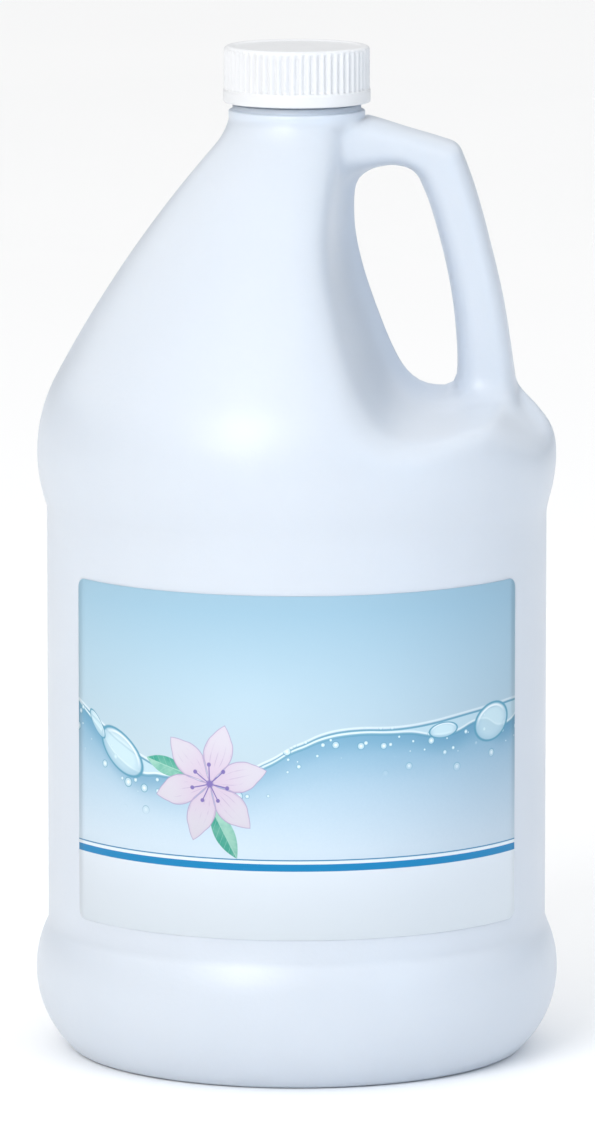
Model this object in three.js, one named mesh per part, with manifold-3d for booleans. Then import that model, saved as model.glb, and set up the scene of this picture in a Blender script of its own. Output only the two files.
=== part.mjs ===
// One gallon hand soap refill jug: a round blown bottle with a hollow through handle,
// a ribbed screw cap with its foam liner, a front label, and the soap inside.
// Millimetres, +Z up. The origin is on the bottle's axis, on the surface it stands on.
// The handle is at +X, the label faces -Y, and the mould's parting plane is y = 0.

import * as THREE from 'three';
import { LoftGeometry } from 'three/addons/geometries/LoftGeometry.js';
import { mergeVertices } from 'three/addons/utils/BufferGeometryUtils.js';
import Module from 'manifold-3d';

const wasm = await Module();
wasm.setup();

// Bottle body. Each round stretch of its outline is an arc: centre at (x, z), radius r.
const wall = 0.8;
const turnSteps = 40;
const arcDivisions = 3;
const pushUp = { height: 5, topRadius: 50, footRadius: 57 };
const foot = { x: 64.8, z: 4.6, r: 4.6 };
const baseBulge = { x: 46.5, z: 24.2, r: 31.4 };
const footAngle = THREE.MathUtils.degToRad(-47);
const panelRadius = 74.2;
const shoulder = { x: 30.15, z: 179.5, r: 46.9 };
const shoulderTopAngle = THREE.MathUtils.degToRad(27.9);
const slopeRadius = 366;
const slopeTopAngle = THREE.MathUtils.degToRad(41);
const neckFilletRadius = 20;
const neckFilletEnd = THREE.MathUtils.degToRad(15);

// Neck finish and its thread, shared with the cap.
const ledge = { radius: 20.2, top: 281.1, chamfer: 0.4 };
const neckRing = { radius: 19, bottom: 281.3, top: 282.9 };
const neckRadius = 17.5;
const neckBore = 15.5;
const lipHeight = 297.3;
const lipChamfer = 0.6;
const thread = { pitch: 4.233, turns: 1.5, base: 2.4, crest: 1, sink: 0.5, steps: 36, fade: 0.08 };
const bottleThread = { height: 1.2, startZ: 288.4 };
const capThread = { height: 1.3, startZ: 286.28 };

// Handle: its outer and inner edges in the plane y = 0, from inside the neck to inside the shoulder.
const handleHalfWidth = 13;
const handleSquareness = 2.6;
const handleRingSteps = 16;
const handleLengthSteps = 22;
const handleOuterEdge = [
  [10, 278.8], [22.5, 278.6], [34, 276.1], [44.6, 272.7], [49.6, 267.6], [53.8, 254.1],
  [57.6, 240.2], [61.8, 224.3], [64.6, 206.4], [65, 194], [63, 184],
];
const handleInnerEdge = [
  [10, 263], [22.5, 265.3], [29.5, 265.2], [34.2, 262.6], [36.9, 257.6], [38.9, 250.5],
  [42, 238], [45.2, 224.3], [46.9, 207], [46.5, 194], [48, 184],
];

// Finger pocket: cut out of the slope beside the handle. Its wall and floor lean outwards
// by these amounts for each millimetre away from the parting plane.
const pocketWallLean = 0.14;
const pocketFloorLean = 0.07;
const pocketReach = 90;

// Screw cap and liner.
const cap = {
  bottom: 283.4,
  top: 300,
  bandTop: 287.2,
  bandRadius: 21.8,
  ribTop: 297.8,
  ribCrest: 21.6,
  ribValley: 20.9,
  edgeRadius: 19.6,
  ribs: 60,
  bore: 19.3,
  linerBore: 18.8,
  panelUnder: 298.8,
};
const liner = { radius: 18.4, bottom: 297.6, top: 298.5 };

// Label: a thin sheet round the front of the panel.
const label = {
  gap: 0.45,
  thickness: 0.3,
  halfAngle: THREE.MathUtils.degToRad(59.4),
  bottom: 45.65,
  top: 147,
  corner: 3,
  steps: 16,
};

// Soap: fills the bottle to this level, a hair clear of its walls.
const soapGap = 0.3;
const soapLevel = 268;

// --- Solids: joining and cutting -------------------------------------------------

function toSolid(geometry) {
  const bare = geometry.index ? geometry.toNonIndexed() : geometry.clone();
  bare.deleteAttribute('normal');
  bare.deleteAttribute('uv');
  const merged = mergeVertices(bare, 1e-4);
  return new wasm.Manifold(new wasm.Mesh({
    numProp: 3,
    vertProperties: new Float32Array(merged.attributes.position.array),
    triVerts: new Uint32Array(merged.index.array),
  }));
}

function toGeometry(solid) {
  const { vertProperties, triVerts } = solid.getMesh();
  const geometry = new THREE.BufferGeometry();
  geometry.setAttribute('position', new THREE.BufferAttribute(vertProperties, 3));
  geometry.setIndex(new THREE.BufferAttribute(triVerts, 1));
  geometry.computeVertexNormals();
  return geometry;
}

// A turned solid about +Z. The outline runs upwards, as (radius, height).
function turned(path) {
  const points = path.getPoints(arcDivisions);
  const geometry = new THREE.LatheGeometry(points, turnSteps);
  geometry.rotateX(Math.PI / 2);
  return toSolid(geometry);
}

function box(low, high) {
  const size = high.map((value, axis) => value - low[axis]);
  const geometry = new THREE.BoxGeometry(...size);
  geometry.translate(...low.map((value, axis) => value + size[axis] / 2));
  return toSolid(geometry);
}

// --- Bottle ----------------------------------------------------------------------

function arcTo(path, arc, radius, from, to, clockwise = false) {
  path.absarc(arc.x, arc.z, radius, from, to, clockwise);
}

// The body from the centre of its base to the foot of the neck, moved inwards by inset.
function bodyOutline(inset) {
  const path = new THREE.Path();
  const panel = panelRadius - inset;
  const bulgeRadius = baseBulge.r - inset;
  const shoulderRadius = shoulder.r - inset;
  path.moveTo(0, pushUp.height + inset);
  path.lineTo(pushUp.topRadius, pushUp.height + inset);
  path.lineTo(pushUp.footRadius, inset);
  arcTo(path, foot, foot.r - inset, -Math.PI / 2, footAngle);
  arcTo(path, baseBulge, bulgeRadius, footAngle, Math.acos((panel - baseBulge.x) / bulgeRadius));
  const panelEnd = Math.acos((panel - shoulder.x) / shoulderRadius);
  arcTo(path, shoulder, shoulderRadius, -panelEnd, shoulderTopAngle);
  const slope = {
    x: shoulder.x - (slopeRadius - shoulder.r) * Math.cos(shoulderTopAngle),
    z: shoulder.z - (slopeRadius - shoulder.r) * Math.sin(shoulderTopAngle),
  };
  arcTo(path, slope, slopeRadius - inset, shoulderTopAngle, slopeTopAngle);
  const fillet = {
    x: slope.x + (slopeRadius + neckFilletRadius) * Math.cos(slopeTopAngle),
    z: slope.z + (slopeRadius + neckFilletRadius) * Math.sin(slopeTopAngle),
  };
  const half = Math.PI;
  arcTo(path, fillet, neckFilletRadius + inset, half + slopeTopAngle, half + neckFilletEnd, true);
  return path;
}

function outerOutline() {
  const path = bodyOutline(0);
  path.lineTo(ledge.radius, ledge.top - ledge.chamfer);
  path.lineTo(ledge.radius - ledge.chamfer, ledge.top);
  path.lineTo(neckRing.radius, neckRing.bottom);
  path.lineTo(neckRing.radius, neckRing.top);
  path.lineTo(neckRadius, neckRing.top + 0.2);
  path.lineTo(neckRadius, lipHeight - lipChamfer);
  path.lineTo(neckRadius - lipChamfer, lipHeight);
  path.lineTo(0, lipHeight);
  return path;
}

function cavityOutline() {
  const path = bodyOutline(wall);
  path.lineTo(neckBore, ledge.top);
  path.lineTo(neckBore, lipHeight + 1);
  path.lineTo(0, lipHeight + 1);
  return path;
}

function soapOutline() {
  const path = bodyOutline(wall + soapGap);
  path.lineTo(0, ledge.top);
  return path;
}

// One closed section of the handle, half way between its two edges.
function handleSection(outer, inner, inset) {
  const middle = outer.clone().add(inner).multiplyScalar(0.5);
  const half = outer.clone().sub(inner).multiplyScalar(0.5);
  half.setLength(half.length() - inset);
  const round = (value) => Math.sign(value) * Math.abs(value) ** (2 / handleSquareness);
  const ring = [];
  for (let step = 0; step < handleRingSteps; step += 1) {
    const angle = (step / handleRingSteps) * 2 * Math.PI;
    const across = round(Math.cos(angle));
    const y = -round(Math.sin(angle)) * (handleHalfWidth - inset);
    ring.push(new THREE.Vector3(middle.x + half.x * across, y, middle.y + half.y * across));
  }
  return ring;
}

function handleSolid(inset) {
  const toCurve = (edge) => new THREE.SplineCurve(edge.map(([x, z]) => new THREE.Vector2(x, z)));
  const outerEdge = toCurve(handleOuterEdge);
  const innerEdge = toCurve(handleInnerEdge);
  const sections = [];
  for (let step = 0; step <= handleLengthSteps; step += 1) {
    const along = step / handleLengthSteps;
    sections.push(handleSection(outerEdge.getPoint(along), innerEdge.getPoint(along), inset));
  }
  return toSolid(new LoftGeometry(sections, { capStart: true, capEnd: true }));
}

// The pocket's outline in the plane y = 0: up the outside, over the top, and down the wall.
function pocketOutline() {
  const path = new THREE.Path();
  path.moveTo(41.6, 198.2);
  path.quadraticCurveTo(58, 200, 66.5, 198.2);
  path.lineTo(76, 189.5);
  path.lineTo(110, 189.5);
  path.lineTo(110, 281);
  path.lineTo(26, 281);
  path.quadraticCurveTo(17.6, 274, 17.4, 252);
  path.quadraticCurveTo(18, 237, 25.5, 218.3);
  path.quadraticCurveTo(31.5, 202, 41.6, 198.2);
  const points = path.getPoints(2 * arcDivisions);
  points.pop();
  return points;
}

function pocketSolid(inset) {
  const outline = pocketOutline();
  const sections = [-pocketReach, 0, pocketReach].map((y) => {
    const left = Math.abs(y) * pocketWallLean + inset;
    const down = Math.abs(y) * pocketFloorLean + inset;
    return outline.map((point) => new THREE.Vector3(point.x - left, y, point.y - down));
  });
  return toSolid(new LoftGeometry(sections.reverse(), { capStart: true, capEnd: true }));
}

// A screw thread's ridge on a round wall. Side is 1 for a ridge that stands outwards, -1 inwards.
function threadRidge(wallRadius, ridge, side) {
  const sections = [];
  const count = Math.round(thread.turns * thread.steps);
  for (let step = 0; step <= count; step += 1) {
    const along = step / count;
    const rise = THREE.MathUtils.clamp(Math.min(along, 1 - along) / thread.fade, 0.05, 1);
    const angle = along * thread.turns * 2 * Math.PI;
    const z = ridge.startZ + along * thread.turns * thread.pitch;
    const root = wallRadius - side * thread.sink;
    const crest = wallRadius + side * ridge.height * rise;
    const corners = [
      [root, -thread.base / 2], [crest, -thread.crest / 2], [crest, thread.crest / 2], [root, thread.base / 2],
    ];
    if (side > 0) corners.reverse();
    sections.push(corners.map(([radius, dz]) => (
      new THREE.Vector3(radius * Math.cos(angle), radius * Math.sin(angle), z + dz)
    )));
  }
  return toSolid(new LoftGeometry(sections, { capStart: true, capEnd: true }));
}

function jugSolid(path, inset) {
  return turned(path).subtract(pocketSolid(inset)).add(handleSolid(inset));
}

function bottleSolid() {
  const outside = jugSolid(outerOutline(), 0).add(threadRidge(neckRadius, bottleThread, 1));
  return outside.subtract(jugSolid(cavityOutline(), wall));
}

function soapSolid() {
  const reach = panelRadius + baseBulge.r;
  const below = box([-reach, -reach, 0], [reach, reach, soapLevel]);
  return jugSolid(soapOutline(), wall + soapGap).intersect(below);
}

// --- Cap and liner -----------------------------------------------------------------

// One ring of the cap's outside. Each rib has a valley point and two crest points.
function capRing(z, valley, crest) {
  const ring = [];
  for (let rib = 0; rib < cap.ribs; rib += 1) {
    for (const [share, radius] of [[0, valley], [0.3, crest], [0.7, crest]]) {
      const angle = ((rib + share) / cap.ribs) * 2 * Math.PI;
      ring.push(new THREE.Vector3(radius * Math.cos(angle), radius * Math.sin(angle), z));
    }
  }
  return ring;
}

function capOutside() {
  const sections = [
    capRing(cap.bottom, cap.bandRadius, cap.bandRadius),
    capRing(cap.bandTop, cap.bandRadius, cap.bandRadius),
    capRing(cap.bandTop + 0.2, cap.ribValley, cap.ribCrest),
    capRing(cap.ribTop, cap.ribValley, cap.ribCrest),
    capRing(cap.top - 0.6, cap.ribValley - 0.3, cap.ribValley - 0.3),
    capRing(cap.top, cap.edgeRadius, cap.edgeRadius),
  ];
  return toSolid(new LoftGeometry(sections, { capStart: true, capEnd: true }));
}

function capHollow() {
  const path = new THREE.Path();
  path.moveTo(0, cap.bottom - 1);
  path.lineTo(cap.bore, cap.bottom - 1);
  path.lineTo(cap.bore, liner.bottom - 1);
  path.lineTo(cap.linerBore, liner.bottom - 0.5);
  path.lineTo(cap.linerBore, cap.panelUnder);
  path.lineTo(0, cap.panelUnder);
  return turned(path);
}

function capSolid() {
  return capOutside().subtract(capHollow()).add(threadRidge(cap.bore, capThread, -1));
}

function linerGeometry() {
  const thickness = liner.top - liner.bottom;
  const geometry = new THREE.CylinderGeometry(liner.radius, liner.radius, thickness, turnSteps);
  geometry.rotateX(Math.PI / 2);
  geometry.translate(0, 0, liner.bottom + thickness / 2);
  return geometry;
}

// --- Label -------------------------------------------------------------------------

function labelBand() {
  const inside = panelRadius + label.gap;
  const outside = inside + label.thickness;
  const shape = new THREE.Shape();
  const angleAt = (step) => -Math.PI / 2 + label.halfAngle * ((2 * step) / label.steps - 1);
  for (let step = 0; step <= label.steps; step += 1) {
    shape.lineTo(outside * Math.cos(angleAt(step)), outside * Math.sin(angleAt(step)));
  }
  for (let step = label.steps; step >= 0; step -= 1) {
    shape.lineTo(inside * Math.cos(angleAt(step)), inside * Math.sin(angleAt(step)));
  }
  shape.curves.shift();
  const geometry = new THREE.ExtrudeGeometry(shape, { depth: label.top - label.bottom, bevelEnabled: false });
  geometry.translate(0, 0, label.bottom);
  return toSolid(geometry);
}

// The label's front view, with its corners rounded as they look end-on.
function labelWindow() {
  const halfWidth = (panelRadius + label.gap + label.thickness) * Math.sin(label.halfAngle);
  const middle = (label.bottom + label.top) / 2;
  const halfHeight = (label.top - label.bottom) / 2;
  const cornerX = label.corner * Math.cos(label.halfAngle);
  const shape = new THREE.Shape();
  for (const [sideX, sideZ, start] of [[1, -1, -0.5], [1, 1, 0], [-1, 1, 0.5], [-1, -1, 1]]) {
    const x = sideX * (halfWidth - cornerX);
    const z = sideZ * (halfHeight - label.corner);
    shape.absellipse(x, z, cornerX, label.corner, start * Math.PI, (start + 0.5) * Math.PI);
  }
  const geometry = new THREE.ExtrudeGeometry(shape, {
    depth: 2 * panelRadius,
    bevelEnabled: false,
    curveSegments: 2 * arcDivisions,
  });
  geometry.rotateX(Math.PI / 2);
  geometry.translate(0, 0, middle);
  return toSolid(geometry);
}

function labelSolid() {
  return labelBand().intersect(labelWindow());
}

// --- The pieces ----------------------------------------------------------------------

const finishes = {
  bottle: new THREE.MeshStandardMaterial({ color: 0xdfe8f6, roughness: 0.42, metalness: 0 }),
  soap: new THREE.MeshStandardMaterial({ color: 0xf0f1ee, roughness: 0.25, metalness: 0 }),
  label: new THREE.MeshStandardMaterial({ color: 0xb4dbe8, roughness: 0.35, metalness: 0 }),
  cap: new THREE.MeshStandardMaterial({ color: 0xfafafa, roughness: 0.4, metalness: 0 }),
  liner: new THREE.MeshStandardMaterial({ color: 0xf1efe8, roughness: 0.8, metalness: 0 }),
};

function piece(name, geometry, material) {
  const mesh = new THREE.Mesh(geometry, material);
  mesh.name = name;
  return mesh;
}

const jug = new THREE.Group();
jug.add(piece('bottle', toGeometry(bottleSolid()), finishes.bottle));
jug.add(piece('soap', toGeometry(soapSolid()), finishes.soap));
jug.add(piece('label', toGeometry(labelSolid()), finishes.label));

const closure = new THREE.Group();
closure.add(piece('cap', toGeometry(capSolid()), finishes.cap));
closure.add(piece('cap_liner', linerGeometry(), finishes.liner));
jug.add(closure);

export default jug;
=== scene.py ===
"""Looks of a one gallon hand soap refill jug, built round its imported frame.

Blender 4.5. Lengths in the shape sections are millimetres and become metres when a mesh is finished.
The bottle's axis is +Z, its handle is at +X, its label faces -Y and its parting plane is y = 0.
"""

import math

import bmesh
import bpy
import numpy as np
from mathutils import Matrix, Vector


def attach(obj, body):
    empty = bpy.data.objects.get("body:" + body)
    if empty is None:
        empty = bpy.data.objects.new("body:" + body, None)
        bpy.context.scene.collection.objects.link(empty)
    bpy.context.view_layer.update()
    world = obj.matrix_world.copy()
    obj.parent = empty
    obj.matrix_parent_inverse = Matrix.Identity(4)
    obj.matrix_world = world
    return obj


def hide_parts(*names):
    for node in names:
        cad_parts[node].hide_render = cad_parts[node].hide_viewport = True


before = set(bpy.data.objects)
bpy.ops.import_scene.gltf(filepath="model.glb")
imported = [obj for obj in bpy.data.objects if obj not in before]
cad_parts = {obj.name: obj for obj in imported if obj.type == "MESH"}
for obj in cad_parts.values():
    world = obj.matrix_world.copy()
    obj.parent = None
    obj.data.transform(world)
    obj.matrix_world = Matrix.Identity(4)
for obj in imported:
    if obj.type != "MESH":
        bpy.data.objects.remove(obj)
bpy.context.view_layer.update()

MM = 0.001
FULL_TURN = 2 * math.pi

# The bottle's wall and its columns of faces round the axis.
WALL = 0.8
COLUMNS = 192

# Bottle outline. Each round stretch is an arc: centre radius, centre height, arc radius.
PUSH_UP_HEIGHT = 5.0
PUSH_UP_RADIUS = 50.0
FOOT_INNER_RADIUS = 57.0
FOOT_ARC = (64.8, 4.6, 4.6)
BASE_BULGE = (46.5, 24.2, 31.35)
FOOT_ANGLE = -47.0
PANEL_RADIUS = 74.2
SHOULDER = (30.15, 179.5, 46.9)
SHOULDER_TOP = 27.9
SLOPE_RADIUS = 366.0
SLOPE_TOP = 41.0
NECK_FILLET = 20.0
NECK_FILLET_END = 15.0

# Neck finish: the ledge, the locking ring, the threaded wall, the lip and the bore.
LEDGE_RADIUS = 20.2
LEDGE_TOP = 281.1
RING_RADIUS = 19.0
RING_TOP = 282.6
NECK_RADIUS = 17.5
THREAD_WALL_START = 283.3
BORE_RADIUS = 15.5
LIP_HEIGHT = 297.3

# Thread. Its ridge is THREAD_BASE wide to each side at its foot and THREAD_CREST at its top.
THREAD_PITCH = 4.233
THREAD_TURNS = 1.5
THREAD_HEIGHT = 1.2
THREAD_START = 288.4
THREAD_BASE = 1.25
THREAD_CREST = 0.45
THREAD_FADE = 0.09

# Finger pocket: its edge in the plane y = 0, from under the neck, down the wall and along the floor.
# Away from that plane the wall and the floor lean, and the web of the gap stands proud of them.
# Softness is (place along +X, width of the rounding where the pocket meets the body).
POCKET_EDGE = [
    (30, 284), (21.5, 277), (18.3, 268), (17.2, 259), (17, 250), (17.9, 242), (20.6, 231.5),
    (25.4, 218), (29.4, 208.8), (32.9, 203.4), (37.1, 200.2), (42, 199.1), (49, 199.1), (58, 200.2),
    (64, 199.8), (69, 195.6), (74, 190.8), (84, 182),
]
POCKET_WALL_LEAN = 0.14
POCKET_FLOOR_LEAN = 0.08
POCKET_RIDGE = 2.0
WEB_REACH = 3.5
WEB_THICKNESS = 5.0
POCKET_SOFTNESS = ((20, 13.5), (45, 8.0))
# The body's points slide into the pocket along a line this many degrees below level.
SLIDE_ANGLE = 32.0
SLIDE_PASSES = 120
SLIDE_STEP = 0.9

# Handle: its outer and inner edges in the plane y = 0, from inside the neck to inside the shoulder.
HANDLE_OUTER = [
    (8, 281.5), (21, 279.2), (33, 275.5), (42.5, 272.7), (47.3, 270.8), (49.6, 266.9),
    (53.3, 256.5), (57.4, 241.5), (61.3, 224.8), (64.1, 207), (65.2, 196), (64, 182),
]
HANDLE_INNER = [
    (8, 262.5), (21, 264), (28, 264.9), (32.6, 264.1), (35.4, 262), (37.2, 258.5),
    (39.8, 251.7), (43.6, 237.8), (46.3, 223.5), (47.6, 208.5), (47.4, 196), (48, 182),
]
HANDLE_HALF_WIDTH = 13.0
HANDLE_HALF_DEPTH = 7.0
HANDLE_SQUARENESS = 2.9

# How softly the handle runs into the body: (height, width of the rounding), a share of it by the place
# along +X, and more of it at the foot, where the share falls with height and the width grows sideways.
HANDLE_BLEND = ((212, 6.5), (236, 13.0), (268, 13.0), (279, 1.5))
HANDLE_ROOT = ((8, 0.15), (20, 1.0), (60, 1.0), (65, 0.5))
HANDLE_FOOT = ((212, 1.0), (230, 0.0))
HANDLE_FOOT_BLEND = ((4, 0.0), (15, 7.0))

# The handle's mesh. Its ends replace two blocks of faces, given as half a width in columns and a span of
# heights. Each end has a middle and an upward direction. The rings lie between two shares of its length.
NECK_BLOCK = (10.9, (268.5, 276.5))
FLOOR_BLOCK = (10.9, (201.3, 213.0))
NECK_END = ((20, 0, 272), (0, 0, 1))
FLOOR_END = ((55, 0, 198), (1, 0, 0))
HANDLE_RINGS = 76
HANDLE_FROM = 0.10
HANDLE_TO = 0.8545

# Evening out of the mesh round the handle, and how far the columns swing at each height to suit it.
MOBILITY_FADE = 0.84
MOBILITY_RINGS = 26
RELAX_PASSES = 90
SETTLE_PASSES = 6
COLUMN_SWING = ((188, 0.0), (203, -0.4), (212, -0.4), (236, 0.0), (266, 0.6))

# The face layer that tells the neck from the body.
NECK_MARK = "neck"

# Soap inside the bottle.
SOAP_GAP = 0.3
SOAP_LEVEL = 268.0

# Cap and its liner.
CAP_BOTTOM = 283.4
CAP_TOP = 300.0
CAP_EDGE_RADIUS = 20.2
CAP_ROUND = 1.4
TOP_RECESS = 0.3
TOP_RECESS_RADIUS = 18.9
BAND_TOP = 287.2
BAND_RADIUS = 21.8
RIBS = 60
COLUMNS_PER_RIB = 12
RIB_CREST = 21.6
RIB_DEPTH = 0.85
GROOVE_HALF_WIDTH = 0.27
GROOVE_RUNOUT = 1.6
CAP_BORE = 19.3
CAP_BORE_END = 297.0
CAP_THREAD_HEIGHT = 1.3
CAP_THREAD_START = 286.28
LINER_BORE = 18.8
PANEL_UNDERSIDE = 298.8
LINER_RADIUS = 18.4
LINER_BOTTOM = 297.6
LINER_TOP = 298.5
LIP_MARK = 0.12

# Label. Its places are millimetres along the wrap from the middle, and heights above the ground.
LABEL_RADIUS = 74.25
LABEL_FILM = 0.2
LABEL_HALF_ANGLE = math.radians(59.4)
LABEL_BOTTOM = 45.65
LABEL_TOP = 147.0
LABEL_CORNER = 3.0
LABEL_STRIPS = 72

# Colours: a darker and a lighter one for each plain finish, then the inks of the label.
PLASTIC_SHADE = (0.595, 0.655, 0.74)
PLASTIC_LIGHT = (0.635, 0.695, 0.78)
CAP_SHADE = (0.69, 0.70, 0.715)
CAP_LIGHT = (0.74, 0.745, 0.755)
FOAM_SHADE = (0.80, 0.82, 0.84)
FOAM_LIGHT = (0.88, 0.89, 0.90)
SOAP_SHADE = (0.78, 0.84, 0.90)
SOAP_LIGHT = (0.90, 0.93, 0.96)
PAPER_SHADE = (0.95, 0.95, 0.95)
PAPER_LIGHT = (0.97, 0.97, 0.97)

SKY_TOP = (0.33, 0.52, 0.65)
SKY_LOW = (0.46, 0.58, 0.65)
WATER_PALE = (0.61, 0.72, 0.81)
WATER_DEEP = (0.23, 0.42, 0.56)
WATER_SHADOW = (0.10, 0.29, 0.44)
WATER_LINE = (0.10, 0.30, 0.42)
GLASS = (0.55, 0.71, 0.77)
GLINT = (0.79, 0.85, 0.88)
# Deep blue laid over the label towards its right end: partly the print's own deeper blue, partly painted
# shade where the label wraps away from the light.
DEEP_PRINT_AND_PAINTED_SHADE = (0.02, 0.12, 0.25)
LEAF_DARK = (0.04, 0.32, 0.24)
LEAF_MIDDLE = (0.14, 0.42, 0.33)
LEAF_LIGHT = (0.32, 0.58, 0.48)
PETAL_WHITE = (0.61, 0.58, 0.65)
PETAL_PINK = (0.60, 0.50, 0.62)
PETAL_VEIN = (0.36, 0.27, 0.46)
STAMEN = (0.13, 0.09, 0.36)
STRIPE = (0.00, 0.225, 0.49)
STRIPE_THIN = (0.06, 0.25, 0.44)
FOOT_TINT = (0.74, 0.80, 0.86)
FOOT_PALE = (0.78, 0.84, 0.89)

# The label's print, in millimetres on the label: (along, height) unless it says otherwise.
WAVE = [
    (-78, 111), (-66, 105.5), (-57, 100.5), (-49, 97), (-38, 94), (-24, 93), (-9, 97.5), (1, 103),
    (15, 107), (32, 107), (44, 108), (57, 109.5), (68, 110.5), (78, 111),
]
SWELL = [
    (-78, 0.3), (-66, 2.2), (-54, 5.5), (-42, 2.5), (-26, 1.2), (-8, 1.0), (10, 1.3), (32, 1.5),
    (48, 4.5), (60, 3.0), (70, 6.5), (78, 2.5),
]
WATER_DEPTH = [(-78, 0.9), (-45, 0.7), (-15, 0.35), (10, 0.55), (40, 0.8), (78, 1.0)]
# Bubbles: middle, half length, half height, tilt. Leaves: middle, half length, tilt.
BUBBLES = [
    ((-56.5, 98), 9.5, 5.0, -36),
    ((-67, 105), 5.0, 1.7, -48),
    ((45.5, 105.6), 5.0, 2.2, 4),
    ((65, 106), 7.6, 5.4, 14),
]
LEAVES = [((-39.5, 95.5), 7.5, 165), ((-21.5, 77), 8.5, -62)]
# Froth: the size of a cell, and a shift that keeps two sizes apart.
FROTH = ((4.2, 0.0), (7.5, 31.0))
# Bloom: its middle, its turn, and half a petal's width at places out along it.
BLOOM = (-26.0, 91.4)
PETALS = 6
PETAL_TURN = -14.0
PETAL = [(0, 0.3), (2, 1.0), (5, 2.7), (8.5, 4.3), (11.5, 4.1), (14.5, 2.6), (16.8, 1.0), (17.8, 0.02)]
STAMENS = 7
STAMEN_TURN = 11
STAMEN_REACH = 5.6
STRIPE_HEIGHT = 67.1
STRIPE_HALF = 1.05
THIN_HEIGHT = 69.3
THIN_HALF = 0.16

# Camera and light, in metres and degrees.
CAMERA_TARGET = (0.0002, 0, 0.1457)
CAMERA_DISTANCE = 2.7028
CAMERA_ELEVATION = 8.63
CAMERA_LENS = 290.75
ROOM_LIGHT = 0.12
ROOM_COLOUR = (0.96, 0.98, 1, 1)
# Lights: name, place, what they face, size, power, colour.
LIGHTS = [
    ("key", (-0.75, -1.6, 1.1), (0, 0, 0.15), (0.9, 0.9), 19.3, (1, 1, 1)),
    ("fill", (1.2, -1.2, 0.6), (0, 0, 0.15), (0.8, 1.2), 5, (0.55, 0.75, 1.0)),
    ("top", (0, 2.5, 3.5), (0, 2.5, 0), (20.0, 20.0), 1190, (1, 1, 1)),
]


# --- Curves and profiles -----------------------------------------------------------


def arc(circle, start, end, steps):
    """Points along an arc, as (radius, height). Angles are in degrees from straight outwards."""
    angles = np.radians(np.linspace(start, end, steps + 1))
    return [(circle[0] + circle[2] * math.cos(a), circle[1] + circle[2] * math.sin(a)) for a in angles]


def straight(start, end, steps):
    """Points along a line, without its first."""
    start, end = np.array(start), np.array(end)
    return [tuple(start + (end - start) * step / steps) for step in range(1, steps + 1)]


def smooth_curve(points, count):
    """A Catmull-Rom curve through a few points, as evenly numbered points."""
    points = np.array(points, float)
    ends = np.array([2 * points[0] - points[1], *points, 2 * points[-1] - points[-2]])
    place = np.linspace(0, len(points) - 1, count)
    first = np.minimum(place.astype(int), len(points) - 2)
    t = (place - first)[:, None]
    a, b, c, d = (ends[first + step] for step in range(4))
    square, cube = 2 * a - 5 * b + 4 * c - d, 3 * b - a - 3 * c + d
    return 0.5 * (2 * b + (c - a) * t + square * t**2 + cube * t**3)


def slope_circle():
    """The large arc of the slope, which the shoulder runs into."""
    top = math.radians(SHOULDER_TOP)
    reach = SLOPE_RADIUS - SHOULDER[2]
    return (SHOULDER[0] - reach * math.cos(top), SHOULDER[1] - reach * math.sin(top), SLOPE_RADIUS)


def neck_fillet_circle():
    """The hollow arc between the slope and the neck."""
    slope = slope_circle()
    top = math.radians(SLOPE_TOP)
    reach = SLOPE_RADIUS + NECK_FILLET
    return (slope[0] + reach * math.cos(top), slope[1] + reach * math.sin(top), NECK_FILLET)


def body_profile():
    """The bottle's outside from the middle of its base to the foot of the neck."""
    bulge_end = math.degrees(math.acos((PANEL_RADIUS - BASE_BULGE[0]) / BASE_BULGE[2]))
    shoulder_start = math.degrees(math.acos((PANEL_RADIUS - SHOULDER[0]) / SHOULDER[2]))
    points = [(0, PUSH_UP_HEIGHT)]
    points += straight((0, PUSH_UP_HEIGHT), (PUSH_UP_RADIUS, PUSH_UP_HEIGHT), 8)
    points += straight((PUSH_UP_RADIUS, PUSH_UP_HEIGHT), (FOOT_INNER_RADIUS, 0), 3)
    points += straight((FOOT_INNER_RADIUS, 0), (FOOT_ARC[0], 0), 2)
    points += arc(FOOT_ARC, -90, FOOT_ANGLE, 4)[1:]
    bulge = arc(BASE_BULGE, FOOT_ANGLE, bulge_end, 20)[1:]
    points += bulge
    shoulder = arc(SHOULDER, -shoulder_start, SHOULDER_TOP, 20)
    points += straight(bulge[-1], shoulder[0], 16)[:-1]
    points += shoulder
    points += arc(slope_circle(), SHOULDER_TOP, SLOPE_TOP, 40)[1:]
    points += arc(neck_fillet_circle(), 180 + SLOPE_TOP, 180 + NECK_FILLET_END, 6)[1:]
    return points


def neck_profile(foot):
    """The neck's outside, over the lip and down the bore, from the end of the body."""
    points = straight(foot, (LEDGE_RADIUS, LEDGE_TOP - 0.5), 2)
    points += [(LEDGE_RADIUS - 0.15, LEDGE_TOP - 0.15), (LEDGE_RADIUS - 0.5, LEDGE_TOP)]
    points += [(RING_RADIUS + 0.3, LEDGE_TOP + 0.05), (RING_RADIUS, LEDGE_TOP + 0.35)]
    points += [(RING_RADIUS, RING_TOP), (RING_RADIUS - 0.4, RING_TOP + 0.3)]
    points += [(NECK_RADIUS + 0.3, THREAD_WALL_START - 0.3), (NECK_RADIUS, THREAD_WALL_START)]
    points += straight((NECK_RADIUS, THREAD_WALL_START), (NECK_RADIUS, LIP_HEIGHT - 0.6), 44)
    points += [(NECK_RADIUS - 0.18, LIP_HEIGHT - 0.18), (NECK_RADIUS - 0.6, LIP_HEIGHT)]
    points += [(BORE_RADIUS + 0.5, LIP_HEIGHT), (BORE_RADIUS + 0.12, LIP_HEIGHT - 0.15)]
    points += [(BORE_RADIUS, LIP_HEIGHT - 0.6)]
    points += straight((BORE_RADIUS, LIP_HEIGHT - 0.6), (BORE_RADIUS, LEDGE_TOP + 1), 6)
    return points


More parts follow.
